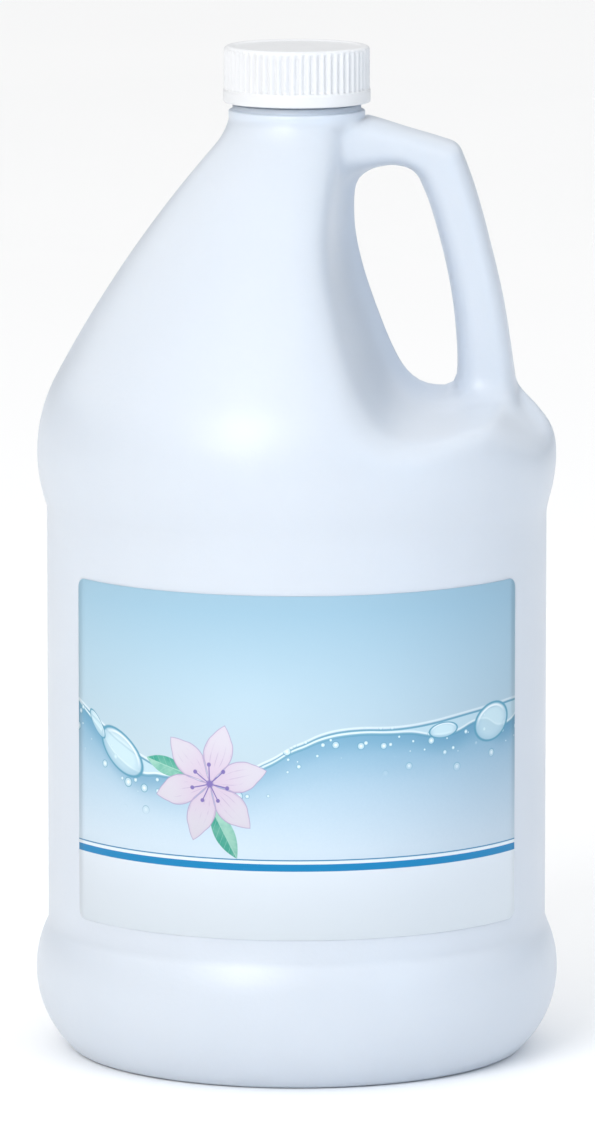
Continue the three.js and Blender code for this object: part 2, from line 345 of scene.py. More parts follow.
# --- The bottle's shape as a field ----------------------------------------------------
# A field is negative inside the plastic's outer skin and grows by about 1 for each millimetre outwards.


class SampledField:
    """Values on a fine grid over the plane y = 0, read back between the grid's points."""

    STEP = 0.5
    LOW = (-12.0, 150.0)
    SHAPE = (260, 300)

    def __init__(self, values_at):
        x = self.LOW[0] + self.STEP * np.arange(self.SHAPE[0])
        z = self.LOW[1] + self.STEP * np.arange(self.SHAPE[1])
        grid = np.stack(np.meshgrid(x, z, indexing="ij"), -1)
        self.values = values_at(grid.reshape(-1, 2)).reshape(*self.SHAPE, -1)

    def __call__(self, x, z):
        column = np.clip((x - self.LOW[0]) / self.STEP, 0, self.SHAPE[0] - 1.001)
        row = np.clip((z - self.LOW[1]) / self.STEP, 0, self.SHAPE[1] - 1.001)
        i, j = column.astype(int), row.astype(int)
        u, v = (column - i)[:, None], (row - j)[:, None]
        low = self.values[i, j] * (1 - u) + self.values[i + 1, j] * u
        high = self.values[i, j + 1] * (1 - u) + self.values[i + 1, j + 1] * u
        return low * (1 - v) + high * v


def offset_from_line(line, points, chunk=4000):
    """For each point: its signed offset to the line's left, and its overshoot past an end."""
    starts, steps = line[:-1], np.diff(line, axis=0)
    lengths = np.linalg.norm(steps, axis=1)
    along = steps / lengths[:, None]
    results = []
    for first in range(0, len(points), chunk):
        away = points[first:first + chunk, None] - starts
        run = np.einsum("psk,sk->ps", away, along)
        inside = np.clip(run, 0, lengths)
        side = away[..., 1] * along[:, 0] - away[..., 0] * along[:, 1]
        distance = np.hypot(side, run - inside)
        best = distance.argmin(1)
        rows = np.arange(len(best))
        overshoot = (run - inside)[rows, best]
        at_end = (best == 0) & (overshoot < 0) | (best == len(starts) - 1) & (overshoot > 0)
        sign = np.where(side[rows, best] < 0, -1, 1)
        near = np.where(at_end, np.abs(side[rows, best]), distance[rows, best])
        results.append(np.stack([sign * near, np.where(at_end, np.abs(overshoot), 0)], 1))
    return np.concatenate(results)


def smooth_min(a, b, width):
    """The lower of two values, rounded off by a cubic where they are closer than the width."""
    blend = np.maximum(width - np.abs(a - b), 0) / width
    return np.minimum(a, b) - blend**3 * width / 6


def graded(place, stops):
    """A value that runs straight from one (place, value) stop to the next."""
    return np.interp(place, *zip(*stops))


class BottleField:
    """The body of revolution, less the finger pocket, joined with the handle."""

    def __init__(self):
        profile = np.array([point for point in body_profile() if point[1] > PUSH_UP_HEIGHT])
        profile = np.vstack([profile, (LEDGE_RADIUS, LEDGE_TOP), (LEDGE_RADIUS, LIP_HEIGHT)])
        self.heights, self.radii = profile[:, 1], profile[:, 0]
        self.middle = (self.heights[1:] + self.heights[:-1]) / 2
        self.tilt = 1 / np.hypot(1, np.diff(self.radii) / np.diff(self.heights))
        edge = smooth_curve(POCKET_EDGE, 240)
        self.pocket = SampledField(lambda points: offset_from_line(edge, points))
        self.outer = smooth_curve(HANDLE_OUTER, 240)
        self.inner = smooth_curve(HANDLE_INNER, 240)
        self.over = SampledField(lambda points: offset_from_line(self.outer, points))
        self.under = SampledField(lambda points: offset_from_line(self.inner, points))

    def body(self, p):
        """The turned body alone."""
        radius = np.hypot(p[:, 0], p[:, 1])
        surface = np.interp(p[:, 2], self.heights, self.radii)
        return (radius - surface) * np.interp(p[:, 2], self.middle, self.tilt)

    def pocketed(self, p):
        """The body less the pocket. Positive offsets from the pocket's edge lie inside the pocket."""
        away = np.hypot(p[:, 1], POCKET_RIDGE) - POCKET_RIDGE
        pocket = self.pocket(p[:, 0] + POCKET_WALL_LEAN * away, p[:, 2] + POCKET_FLOOR_LEAN * away)[:, 0]
        pocket = pocket + WEB_REACH * (1 - np.exp(-away / WEB_THICKNESS))
        return -smooth_min(-self.body(p), -pocket, graded(p[:, 0], POCKET_SOFTNESS))

    def grip(self, p):
        """The handle: a rounded oblong section between its two edges, shut off past their ends."""
        over, past_outer = self.over(p[:, 0], p[:, 2]).T
        under, past_inner = self.under(p[:, 0], p[:, 2]).T
        half = np.maximum((under - over) / 2, 1)
        offset = (under + over) / 2
        n = HANDLE_SQUARENESS
        a, b = np.abs(offset) / half + 1e-9, np.abs(p[:, 1]) / HANDLE_HALF_WIDTH + 1e-9
        size = (a**n + b**n) ** (1 / n)
        rate = np.hypot((a / size) ** (n - 1) / half, (b / size) ** (n - 1) / HANDLE_HALF_WIDTH)
        return np.maximum((size - 1) / rate, np.maximum(past_outer, past_inner) - 2)

    def whole(self, p):
        """The body and the handle run together."""
        width = graded(p[:, 2], HANDLE_BLEND) * graded(p[:, 0], HANDLE_ROOT)
        width = width + graded(p[:, 2], HANDLE_FOOT) * graded(np.abs(p[:, 1]), HANDLE_FOOT_BLEND)
        return smooth_min(self.pocketed(p), self.grip(p), width)

    def gradient(self, field, p, step=0.05):
        rows = []
        for axis in range(3):
            shift = np.zeros(3)
            shift[axis] = step
            rows.append((field(p + shift) - field(p - shift)) / (2 * step))
        return np.stack(rows, 1)

    def settle(self, p, field, passes, limit=1.0):
        """Moves points onto the field's surface, by no more than limit each pass."""
        for _ in range(passes):
            value, slope = field(p), self.gradient(field, p)
            step = value / np.maximum((slope * slope).sum(1), 0.2)
            p = p - np.clip(step, -limit, limit)[:, None] * slope
        return p


# --- Mesh helpers --------------------------------------------------------------------


def places(bm):
    """Where the vertices are, one row each."""
    return np.array([v.co for v in bm.verts], float)


def set_places(bm, points):
    for vert, point in zip(bm.verts, points):
        vert.co = point


def spin_profile(bm, points, columns):
    """Turns a line of (radius, height) points about +Z."""
    verts = [bm.verts.new((radius, 0, height)) for radius, height in points]
    edges = [bm.edges.new(pair) for pair in zip(verts, verts[1:])]
    bmesh.ops.spin(
        bm, geom=verts + edges, axis=(0, 0, 1), cent=(0, 0, 0),
        angle=FULL_TURN, steps=columns, use_merge=True,
    )
    bmesh.ops.remove_doubles(bm, verts=bm.verts, dist=1e-3)
    bmesh.ops.recalc_face_normals(bm, faces=bm.faces)


def in_scene(name, data):
    """A new object in the scene."""
    made = bpy.data.objects.new(name, data)
    bpy.context.scene.collection.objects.link(made)
    return made


def finish_mesh(name, bm, material, body, node):
    """Makes the object in metres, on its body, in the node's place, with its finish."""
    bmesh.ops.scale(bm, vec=(MM, MM, MM), verts=bm.verts)
    mesh = bpy.data.meshes.new(name)
    bm.to_mesh(mesh)
    bm.free()
    for polygon in mesh.polygons:
        polygon.use_smooth = True
    mesh.materials.append(material)
    piece = in_scene(name, mesh)
    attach(piece, body)
    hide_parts(node)


# --- Bottle ----------------------------------------------------------------------------


def warp_columns(points):
    """Draws the columns together on the pocket's floor and apart by the neck, to suit the handle's ends."""
    angle = np.arctan2(points[:, 1], points[:, 0])
    radius = np.hypot(points[:, 0], points[:, 1])
    turned = angle + graded(points[:, 2], COLUMN_SWING) * np.sin(angle)
    return np.stack([radius * np.cos(turned), radius * np.sin(turned), points[:, 2]], 1)


def cut_block(bm, block):
    """Deletes a block of faces round +X and returns the vertices of the hole's rim."""
    half_width, (low, high) = block
    inside = []
    for face in bm.faces:
        centre = face.calc_center_median()
        angle = math.degrees(math.atan2(centre.y, centre.x))
        if abs(angle) < half_width * 360 / COLUMNS and low < centre.z < high:
            inside.append(face)
    chosen = set(inside)
    edges = {edge for face in inside for edge in face.edges}
    outline = [edge for edge in edges if any(face not in chosen for face in edge.link_faces)]
    rim = {vert for edge in outline for vert in edge.verts}
    bmesh.ops.delete(bm, geom=inside, context="FACES")
    return rim


def slide_into_pocket(points, field):
    """Moves points of the turned body inwards and down until they meet the pocket."""
    radius = np.hypot(points[:, 0], points[:, 1])
    ray = math.radians(SLIDE_ANGLE)
    inwards = -math.cos(ray) / np.maximum(radius, 1)
    down = np.full(len(points), -math.sin(ray))
    direction = np.stack([points[:, 0] * inwards, points[:, 1] * inwards, down], 1)
    for _ in range(SLIDE_PASSES):
        points = points + np.maximum(field.pocketed(points), 0)[:, None] * direction * SLIDE_STEP
    return points


def ordered_rim(rim, end):
    """A hole's rim in order round the handle's line, with each vertex's angle from the end's upward way."""
    centre, up = Vector(end[0]), Vector(end[1])
    found = []
    for vert in rim:
        away = vert.co - centre
        angle = math.atan2(away.y / HANDLE_HALF_WIDTH, away.dot(up) / HANDLE_HALF_DEPTH)
        found.append((angle, vert))
    found.sort(key=lambda pair: pair[0])
    return [vert for _, vert in found], np.array([angle for angle, _ in found])


def handle_ring(field, along, angles):
    """Points round the handle's section at a share of its length."""
    place = along * (len(field.outer) - 1)
    steps = np.arange(len(field.outer))
    outer = np.array([np.interp(place, steps, field.outer[:, axis]) for axis in (0, 1)])
    inner = np.array([np.interp(place, steps, field.inner[:, axis]) for axis in (0, 1)])
    power = 2 / HANDLE_SQUARENESS
    across = np.sign(np.cos(angles)) * np.abs(np.cos(angles)) ** power
    sideways = np.sign(np.sin(angles)) * np.abs(np.sin(angles)) ** power
    flat = (outer + inner) / 2 + across[:, None] * (outer - inner) / 2
    return np.stack([flat[:, 0], sideways * HANDLE_HALF_WIDTH, flat[:, 1]], 1)


def extrude_rim(bm, rim):
    """Extrudes a closed row of vertices and returns the new row in the same order."""
    on_rim = set(rim)
    edges = [e for v in rim for e in v.link_edges if e.is_boundary and e.other_vert(v) in on_rim]
    made = bmesh.ops.extrude_edge_only(bm, edges=list(dict.fromkeys(edges)))
    new = {g for g in made["geom"] if isinstance(g, bmesh.types.BMVert)}
    return [next(e.other_vert(v) for e in v.link_edges if e.other_vert(v) in new) for v in rim]


def add_handle(bm, field, neck_rim, floor_rim):
    """Draws the handle as a tube of rings from one rim to the other."""
    row, start_angles = ordered_rim(neck_rim, NECK_END)
    last, end_angles = ordered_rim(floor_rim, FLOOR_END)
    for ring in range(1, HANDLE_RINGS):
        share = ring / HANDLE_RINGS
        along = HANDLE_FROM + (HANDLE_TO - HANDLE_FROM) * share
        row = extrude_rim(bm, row)
        points = handle_ring(field, along, start_angles * (1 - share) + end_angles * share)
        for vert, point in zip(row, points):
            vert.co = point
    row = extrude_rim(bm, row)
    bmesh.ops.weld_verts(bm, targetmap=dict(zip(row, last)))


def relax(points, pairs, mobility, field, passes):
    """Evens out the spacing of the movable vertices while they stay on the bottle's surface."""
    count = len(points)
    moving = mobility > 0.01
    degree = np.bincount(pairs.ravel(), minlength=count)
    share = 0.5 * mobility[:, None]
    for _ in range(passes):
        total = np.zeros_like(points)
        for axis in range(3):
            total[:, axis] = np.bincount(pairs[:, 0], points[pairs[:, 1], axis], count)
            total[:, axis] += np.bincount(pairs[:, 1], points[pairs[:, 0], axis], count)
        points = points + share * (total / degree[:, None] - points)
        points[moving] = field.settle(points[moving], field.whole, 1)
    points[moving] = field.settle(points[moving], field.whole, SETTLE_PASSES)
    return points


def spread_mobility(seeds, pairs, rings):
    """1 on the seeds, fading over a few rings of neighbours."""
    mobility = seeds.astype(float)
    for _ in range(rings):
        reach = mobility.copy()
        np.maximum.at(reach, pairs[:, 0], MOBILITY_FADE * mobility[pairs[:, 1]])
        np.maximum.at(reach, pairs[:, 1], MOBILITY_FADE * mobility[pairs[:, 0]])
        mobility = reach
    return mobility


def raise_thread(points, radius, height, start, side):
    """Raises a helical ridge on the vertices that lie on a round wall."""
    r = np.hypot(points[:, 0], points[:, 1])
    on_wall = np.abs(r - radius) < 0.01
    turn = np.arctan2(points[:, 1], points[:, 0]) / FULL_TURN % 1
    ridge = np.zeros(len(points))
    for lap in range(math.ceil(THREAD_TURNS) + 1):
        turns = turn + lap
        away = np.abs(points[:, 2] - start - turns * THREAD_PITCH)
        fade = np.clip(np.minimum(turns, THREAD_TURNS - turns) / THREAD_FADE, 0, 1)
        flank = np.clip((THREAD_BASE - away) / (THREAD_BASE - THREAD_CREST), 0, 1)
        ridge = np.maximum(ridge, height * flank * flank * (3 - 2 * flank) * fade)
    scale = 1 + np.where(on_wall, side * ridge / np.maximum(r, 1), 0)
    return points * np.stack([scale, scale, np.ones(len(points))], 1)


def shape_bottle_skin(field):
    """The outer skin: body, neck, lip, bore, pocket and handle. Faces of the neck are marked 1."""
    bm = bmesh.new()
    body = body_profile()
    spin_profile(bm, body + neck_profile(body[-1]), COLUMNS)
    neck_mark = bm.faces.layers.int.new(NECK_MARK)
    foot = body[-1][1]
    neck_verts = {v for v in bm.verts if v.co.z > foot - 0.01}
    for face in bm.faces:
        face[neck_mark] = int(all(v in neck_verts for v in face.verts))
    neck_rim = cut_block(bm, NECK_BLOCK)
    floor_rim = cut_block(bm, FLOOR_BLOCK)
    on_body = np.array([v not in neck_verts for v in bm.verts])
    before = warp_columns(places(bm))
    after = before.copy()
    after[on_body] = slide_into_pocket(before[on_body], field)
    set_places(bm, after)
    slid = {v for v, moved in zip(bm.verts, np.linalg.norm(after - before, axis=1) > 0.05) if moved}
    turned = set(bm.verts)
    add_handle(bm, field, neck_rim, floor_rim)
    bm.verts.index_update()
    seeds = np.array([v not in turned or v in slid for v in bm.verts])
    fixed = np.array([v in neck_verts for v in bm.verts])
    pairs = np.array([[v.index for v in e.verts] for e in bm.edges])
    mobility = np.where(fixed, 0, spread_mobility(seeds, pairs, MOBILITY_RINGS))
    points = relax(places(bm), pairs, mobility, field, RELAX_PASSES)
    points = raise_thread(points, NECK_RADIUS, THREAD_HEIGHT, THREAD_START, 1)
    set_places(bm, points)
    bmesh.ops.recalc_face_normals(bm, faces=bm.faces)
    return bm


def body_skin_inside(bm, depth):
    """Copies the body's outer faces a depth further in, still facing outwards. Returns the copies."""
    neck_mark = bm.faces.layers.int[NECK_MARK]
    bm.normal_update()
    skin = [face for face in bm.faces if face[neck_mark] == 0]
    inwards = {vert: vert.co - vert.normal * depth for face in skin for vert in face.verts}
    copied = bmesh.ops.duplicate(bm, geom=skin)
    for old, new in copied["vert_map"].items():
        if old in inwards:
            new.co = inwards[old]
    return [g for g in copied["geom"] if isinstance(g, bmesh.types.BMFace)]


def make_bottle(skin, material):
    """The blown bottle: one closed piece with an inner skin that runs up into the neck's bore."""
    bm = skin.copy()
    inner = body_skin_inside(bm, WALL)
    bmesh.ops.reverse_faces(bm, faces=inner)
    bmesh.ops.bridge_loops(bm, edges=[e for e in bm.edges if e.is_boundary])
    finish_mesh("blown_bottle", bm, material, "bottle", "bottle")


def make_soap(skin, material):
    """The soap: it fills the bottle and the handle up to its level."""
    bm = skin.copy()
    inner = set(body_skin_inside(bm, WALL + SOAP_GAP))
    bmesh.ops.delete(bm, geom=[face for face in bm.faces if face not in inner], context="FACES")
    cut = bmesh.ops.bisect_plane(
        bm, geom=bm.verts[:] + bm.edges[:] + bm.faces[:], plane_co=(0, 0, SOAP_LEVEL), plane_no=(0, 0, 1),
        clear_outer=True,
    )
    level = [g for g in cut["geom_cut"] if isinstance(g, bmesh.types.BMEdge) and g.is_boundary]
    bmesh.ops.holes_fill(bm, edges=level, sides=0)
    bmesh.ops.recalc_face_normals(bm, faces=bm.faces)
    finish_mesh("liquid_soap", bm, material, "bottle", "soap")


# --- Cap and liner -----------------------------------------------------------------------


def cap_profile():
    """The cap's section, from the middle of its top, down its outside and up its inside."""
    points = [(0, CAP_TOP - TOP_RECESS)]
    points += straight(points[-1], (TOP_RECESS_RADIUS - 1, CAP_TOP - TOP_RECESS), 5)
    points += [(TOP_RECESS_RADIUS - 0.4, CAP_TOP - TOP_RECESS + 0.06), (TOP_RECESS_RADIUS, CAP_TOP - 0.06)]
    points += [(TOP_RECESS_RADIUS + 0.4, CAP_TOP), (CAP_EDGE_RADIUS, CAP_TOP)]
    points += arc((CAP_EDGE_RADIUS, CAP_TOP - CAP_ROUND, CAP_ROUND), 82, 6, 8)
    points += straight((RIB_CREST, CAP_TOP - CAP_ROUND - 0.2), (RIB_CREST, BAND_TOP + 0.3), 20)
    points += [(BAND_RADIUS - 0.12, BAND_TOP + 0.05), (BAND_RADIUS, BAND_TOP - 0.15)]
    points += straight(points[-1], (BAND_RADIUS, CAP_BOTTOM + 0.4), 4)
    points += [(BAND_RADIUS - 0.12, CAP_BOTTOM + 0.12), (BAND_RADIUS - 0.4, CAP_BOTTOM)]
    points += [(CAP_BORE + 0.5, CAP_BOTTOM), (CAP_BORE, CAP_BOTTOM + 0.6)]
    points += straight(points[-1], (CAP_BORE, CAP_BORE_END), 40)
    points += [(LINER_BORE, CAP_BORE_END + 0.4), (LINER_BORE, PANEL_UNDERSIDE - 0.2)]
    points += [(LINER_BORE - 0.3, PANEL_UNDERSIDE)]
    return points + straight(points[-1], (0, PANEL_UNDERSIDE), 5)


def press_grooves(points):
    """Presses the grooves between the ribs into the cap's outside, up to the top's round edge."""
    r = np.hypot(points[:, 0], points[:, 1])
    phase = np.arctan2(points[:, 1], points[:, 0]) / FULL_TURN * RIBS % 1
    groove = np.exp(-((np.minimum(phase, 1 - phase) / GROOVE_HALF_WIDTH) ** 2))
    height = points[:, 2]
    runout = np.clip((CAP_TOP - 0.5 - height) / GROOVE_RUNOUT, 0, 1)
    runout = runout * np.clip((height - BAND_TOP - 0.1) / 0.2, 0, 1)
    outside = r > CAP_BORE + 0.2
    scale = 1 - np.where(outside, RIB_DEPTH * groove * runout / np.maximum(r, 1), 0)
    return points * np.stack([scale, scale, np.ones(len(points))], 1)


def make_cap(material):
    """The screw cap, ribbed outside, with a thread inside that lies half a pitch from the neck's."""
    bm = bmesh.new()
    spin_profile(bm, cap_profile(), RIBS * COLUMNS_PER_RIB)
    points = press_grooves(places(bm))
    points = raise_thread(points, CAP_BORE, CAP_THREAD_HEIGHT, CAP_THREAD_START, -1)
    set_places(bm, points)
    finish_mesh("ribbed_cap", bm, material, "cap", "cap")


def make_liner(material):
    """The foam disc, with the ring that the bottle's lip has pressed into its underside."""
    bm = bmesh.new()
    points = [(0, LINER_TOP), *straight((0, LINER_TOP), (LINER_RADIUS - 0.2, LINER_TOP), 6)]
    points += [(LINER_RADIUS, LINER_TOP - 0.2), (LINER_RADIUS, LINER_BOTTOM + 0.2)]
    points += [(LINER_RADIUS - 0.2, LINER_BOTTOM)]
    points += [(NECK_RADIUS + 0.1, LINER_BOTTOM), (NECK_RADIUS - 0.3, LINER_BOTTOM + LIP_MARK)]
    points += [(BORE_RADIUS + 0.3, LINER_BOTTOM + LIP_MARK), (BORE_RADIUS - 0.1, LINER_BOTTOM)]
    points += straight(points[-1], (0, LINER_BOTTOM), 5)
    spin_profile(bm, points, 96)
    finish_mesh("foam_liner", bm, material, "liner", "cap_liner")


# --- Label -------------------------------------------------------------------------------


def make_label(material):
    """A thin film with rounded corners, cut flat and then wrapped round the panel."""
    half_length = LABEL_HALF_ANGLE * LABEL_RADIUS
    height = LABEL_TOP - LABEL_BOTTOM
    bm = bmesh.new()
    bmesh.ops.create_grid(bm, x_segments=1, y_segments=1, size=0.5)
    bmesh.ops.scale(bm, vec=(2 * half_length, height, 1), verts=bm.verts)
    bmesh.ops.bevel(
        bm, geom=bm.verts[:], offset=LABEL_CORNER, segments=8, profile=0.5, affect="VERTICES", material=-1
    )
    for cut in np.linspace(-half_length, half_length, LABEL_STRIPS + 1)[1:-1]:
        everything = bm.verts[:] + bm.edges[:] + bm.faces[:]
        bmesh.ops.bisect_plane(bm, geom=everything, plane_co=(cut, 0, 0), plane_no=(1, 0, 0))
    film = bmesh.ops.extrude_face_region(bm, geom=bm.faces[:])
    for vert in [g for g in film["geom"] if isinstance(g, bmesh.types.BMVert)]:
        vert.co.z = LABEL_FILM
    bmesh.ops.recalc_face_normals(bm, faces=bm.faces)
    paint_map = bm.loops.layers.uv.new("label")
    for face in bm.faces:
        for loop in face.loops:
            flat = loop.vert.co
            loop[paint_map].uv = (flat.x / (2 * half_length) + 0.5, flat.y / height + 0.5)
    for vert in bm.verts:
        angle = vert.co.x / LABEL_RADIUS
        radius = LABEL_RADIUS + vert.co.z
        middle = (LABEL_TOP + LABEL_BOTTOM) / 2
        vert.co = (radius * math.sin(angle), -radius * math.cos(angle), middle + vert.co.y)
    finish_mesh("front_label", bm, material, "bottle", "label")


# --- Finishes ----------------------------------------------------------------------------


class Finish:
    """A material under construction. Its constant values are set on the shader's own sockets at once."""

    def __init__(self, name, values=None):
        self.material = bpy.data.materials.new(name)
        self.material.use_nodes = True
        self.tree = self.material.node_tree
        self.shader = self.tree.nodes["Principled BSDF"]
        for socket, value in (values or {}).items():
            self.shader.inputs[socket].default_value = value

    def node(self, kind, links=None, **settings):
        """A new node. Links and values go to its sockets by number or name."""
        made = self.tree.nodes.new("ShaderNode" + kind)
        for setting, value in settings.items():
            setattr(made, setting, value)
        for socket, value in (links or {}).items():
            self.feed(made.inputs[socket], value)
        return made

    def feed(self, socket, value):
        """Gives a socket a link, a number or a colour."""
        if isinstance(value, Signal):
            value = value.socket
        if isinstance(value, bpy.types.NodeSocket):
            self.tree.links.new(value, socket)
        elif isinstance(socket.default_value, float):
            socket.default_value = value
        else:
            socket.default_value = (*value, 1)[:len(socket.default_value)]

    def coordinates(self, scale=(1, 1, 1), source="Object"):
        """Places on the piece, in metres or along its own map, stretched by a scale."""
        texture = self.node("TexCoord")
        return self.node("Mapping", {"Vector": texture.outputs[source], "Scale": scale}).outputs["Vector"]

    def noise(self, scale, detail=3, roughness=0.5, stretch=(1, 1, 1)):
        """A cloudy number about 0.5, finer with a larger scale."""
        place = self.coordinates(stretch)
        links = {"Vector": place, "Scale": scale, "Detail": detail, "Roughness": roughness}
        return Signal(self, self.node("TexNoise", links).outputs["Fac"])

    def mix(self, share, first, second):
        """A colour between two colours."""
        made = self.node("Mix", data_type="RGBA", clamp_factor=True)
        self.feed(made.inputs["Factor"], share)
        self.feed(made.inputs[6], first)
        self.feed(made.inputs[7], second)
        return made.outputs[2]

    def bump(self, height, depth, under=None):
        """A bump whose full height is a depth in millimetres. It lies on top of the bump under it."""
        links = {"Height": height, "Distance": depth * MM, "Strength": 1.0}
        if under:
            links["Normal"] = under
        return self.node("Bump", links).outputs["Normal"]

    def finish(self, colour=None, roughness=None, normal=None):
        """Links what varies to the shader and gives the finished material."""
        for socket, value in (("Base Color", colour), ("Roughness", roughness), ("Normal", normal)):
            if value is not None:
                self.feed(self.shader.inputs[socket], value)
        return self.material


def milky(weight, scale, radius=(1, 1, 1)):
    """Shader values for a material that light sinks into, with the reach of red, green and blue."""
    return {"Subsurface Weight": weight, "Subsurface Scale": scale, "Subsurface Radius": radius}


class Signal:
    """A number that varies over the surface, with the usual sums written as sums."""

    def __init__(self, finish, socket):
        self.finish, self.socket = finish, socket

    def math(self, operation, *others):
        """The result of one of Blender's sums on this number and others."""
        made = self.finish.node("Math", dict(enumerate((self, *others))), operation=operation)
        return Signal(self.finish, made.outputs[0])

    def __add__(self, other):
        return self.math("ADD", other)

    def __sub__(self, other):
        return self.math("SUBTRACT", other)

    def __mul__(self, other):
        return self.math("MULTIPLY", other)

    def __truediv__(self, other):
        return self.math("DIVIDE", other)

    def size(self):
        """The number without its sign."""
        return self.math("ABSOLUTE")

    def rise(self, low, high, soft=True):
        """0 below low, 1 above high. With high under low it falls."""
        kind = "SMOOTHSTEP" if soft else "LINEAR"
        if high < low:
            links = {"Value": self, "From Min": high, "From Max": low, "To Min": 1.0, "To Max": 0.0}
        else:
            links = {"Value": self, "From Min": low, "From Max": high, "To Min": 0.0, "To Max": 1.0}
        made = self.finish.node("MapRange", links, interpolation_type=kind)
        return Signal(self.finish, made.outputs["Result"])

    def line(self, half_width, soft):
        """1 on a line where the number is 0."""
        return self.size().rise(half_width + soft, half_width)


def blown_plastic():
    """Pale blue milky polyethylene with a satin skin, faint flow streaks and the mould's parting line."""
    finish = Finish("blown polyethylene", {**milky(0.35, 0.004, (0.8, 0.9, 1.0)), "IOR": 1.51})
    cloudy = finish.noise(26, 3)
    streaks = finish.noise(60, 4, stretch=(1, 1, 0.06))
    colour = finish.mix(cloudy * 0.6 + streaks * 0.4, PLASTIC_SHADE, PLASTIC_LIGHT)
    roughness = finish.noise(45, 4).rise(0.3, 0.7, soft=False) * 0.08 + 0.34
    parts = finish.node("SeparateXYZ", {0: finish.coordinates()})
    seam = Signal(finish, parts.outputs["Y"]).line(0.12 * MM, 0.35 * MM)
    skin = finish.bump(finish.noise(700, 3), 0.035)
    flow = finish.bump(streaks, 0.10, skin)
    return finish.finish(colour, roughness, finish.bump(seam, 0.10, flow))


def moulded_white():
    """White polypropylene: bright, satin and very finely pebbled."""
    finish = Finish("white polypropylene", milky(0.1, 0.002))
    colour = finish.mix(finish.noise(90, 3), CAP_SHADE, CAP_LIGHT)
    roughness = finish.noise(260, 3) * 0.10 + 0.33
    return finish.finish(colour, roughness, finish.bump(finish.noise(1500, 2), 0.02))


def pressed_foam():
    """The liner's closed-cell foam, with its fine open skin."""
    finish = Finish("liner foam")
    cells = finish.node("TexVoronoi", {"Vector": finish.coordinates(), "Scale": 1800.0})
    cell = Signal(finish, cells.outputs["Distance"])
    colour = finish.mix(cell, FOAM_SHADE, FOAM_LIGHT)
    return finish.finish(colour, finish.noise(300) * 0.1 + 0.6, finish.bump(cell, 0.06))


def pearly_soap():
    """Thick pearly soap, with the swirls that its pearl makes."""
    finish = Finish("pearly soap", milky(0.4, 0.006))
    warped = finish.noise(30, 5, 0.65)
    colour = finish.mix(warped.rise(0.35, 0.65), SOAP_SHADE, SOAP_LIGHT)
    return finish.finish(colour, warped * 0.08 + 0.08, finish.bump(finish.noise(55, 2), 0.05))


# --- The label's print ---------------------------------------------------------------------
# Drawn in millimetres: s runs along the wrap from the label's middle, z is the height above the ground.


def curve_of(finish, along, points, low, high):
    """A smooth line through (place, height) points, as a height for each place along.

    The heights lie between low and high, which are the ends of the curve's own scale.
    """
    first, last = points[0][0], points[-1][0]
    made = finish.node("FloatCurve", {"Value": along.rise(first, last, soft=False)})
    line = made.mapping.curves[0]
    spots = [((place - first) / (last - first), (height - low) / (high - low)) for place, height in points]
    line.points[0].location, line.points[1].location = spots[0], spots[-1]
    for spot in spots[1:-1]:
        line.points.new(*spot)
    made.mapping.update()
    return Signal(finish, made.outputs[0]) * (high - low) + low


def turned_about(s, z, centre, degrees):
    """The places along and across a line through a centre, at an angle from the label's length."""
    cos, sin = math.cos(math.radians(degrees)), math.sin(math.radians(degrees))
    away, up = s - centre[0], z - centre[1]
    return away * cos + up * sin, up * cos - away * sin


def paint_water(finish, s, z, sky, depth):
    """The wave, the deeper water under it, and the glassy swell along its top."""
    wave = curve_of(finish, s, WAVE, 90, 115)
    ripple = (finish.noise(38, 2) - 0.5) * 1.4
    under = z - wave - ripple
    swell = curve_of(finish, s, SWELL, 0, 12)
    lower = under + swell
    shade = curve_of(finish, s, WATER_DEPTH, 0, 1)
    water = finish.mix(depth, WATER_PALE, WATER_DEEP)
    water = finish.mix(under.rise(-17, 0) * shade, water, WATER_DEEP)
    colour = finish.mix(under.rise(0.15, -0.15), sky, water)
    shadow = lower.rise(-7, 0) * lower.rise(0.4, 0) * shade
    colour = finish.mix(shadow * 0.75, colour, WATER_SHADOW)
    glass = under.rise(0, -0.4) * lower.rise(-0.2, 0.3)
    colour = finish.mix(glass * 0.75, colour, GLASS)
    colour = finish.mix(under.line(0.16, 0.28) * 0.85, colour, WATER_LINE)
    colour = finish.mix((under - 0.75).line(0.1, 0.4) * 0.55, colour, GLINT)
    colour = finish.mix(lower.line(0.2, 0.35) * 0.7, colour, WATER_LINE)
    return finish.mix((lower - 0.7).line(0.12, 0.3) * 0.6, colour, GLINT), lower


def paint_bubble(finish, s, z, colour, bubble):
    """One large bubble: a pale inside, a dark rim and a bright crescent near its top."""
    centre, reach, height, tilt = bubble
    along, across = turned_about(s, z, centre, tilt)
    out = (along / reach).math("POWER", 2.0) + (across / height).math("POWER", 2.0)
    out = out.math("SQRT")
    colour = finish.mix(out.rise(1.02, 0.98) * 0.7, colour, GLASS)
    colour = finish.mix(out.rise(0.55, 1.0) * out.rise(1.02, 1.0) * 0.5, colour, WATER_DEEP)
    colour = finish.mix((out - 1).line(0.02, 0.07), colour, WATER_LINE)
    crescent = (out - 0.84).line(0.02, 0.06) * across.rise(0, 0.8 * height)
    return finish.mix(crescent * 0.8, colour, GLINT)


